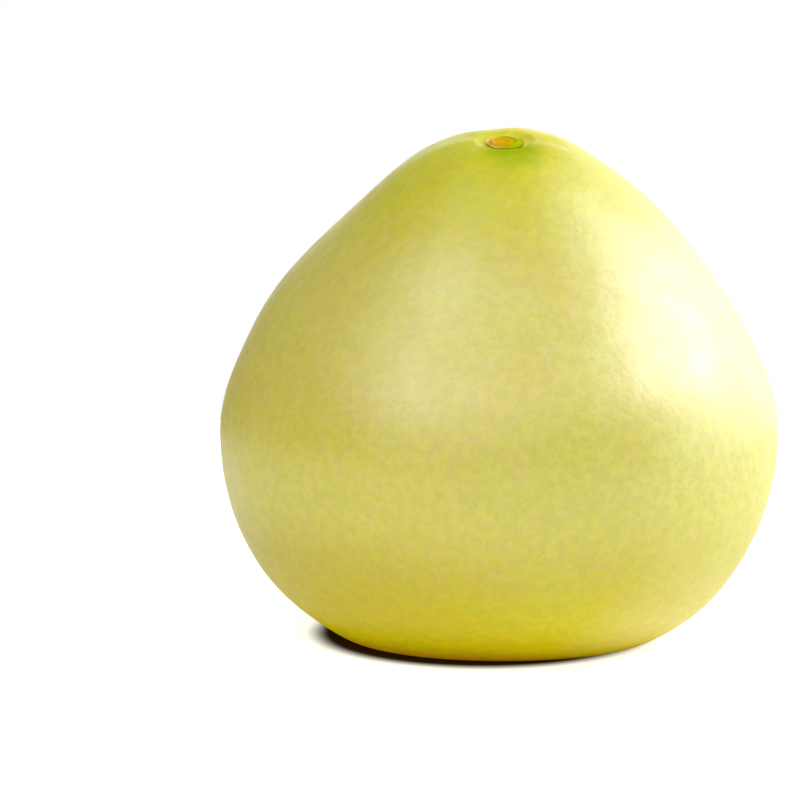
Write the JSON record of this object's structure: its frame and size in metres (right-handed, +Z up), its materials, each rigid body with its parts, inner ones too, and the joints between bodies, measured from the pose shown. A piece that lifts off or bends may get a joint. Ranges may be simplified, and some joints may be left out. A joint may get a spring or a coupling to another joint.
{
  "type": "pomelo",
  "caption": "Whole yellow-green pomelo, pear-shaped with a short leaning neck, a dried stem button in its dimple and a flattened base to rest on.",
  "frame": {"origin": "middle of the bounding box, on the surface that the fruit rests on", "axes": "+Z up through the stem end, -Y the side that the neck leans towards, +X to the right as seen from that side"},
  "size_m": [0.158, 0.1578, 0.1435],
  "materials": {
    "skin": "waxy satin peel, yellow with a green neck, finely pitted by oil glands",
    "dried_stem": "dry calyx and cut stalk, matte"
  },
  "bodies": {
    "root": {"fruit": "skin", "stem_button": "dried_stem"}
  },
  "joints": []
}
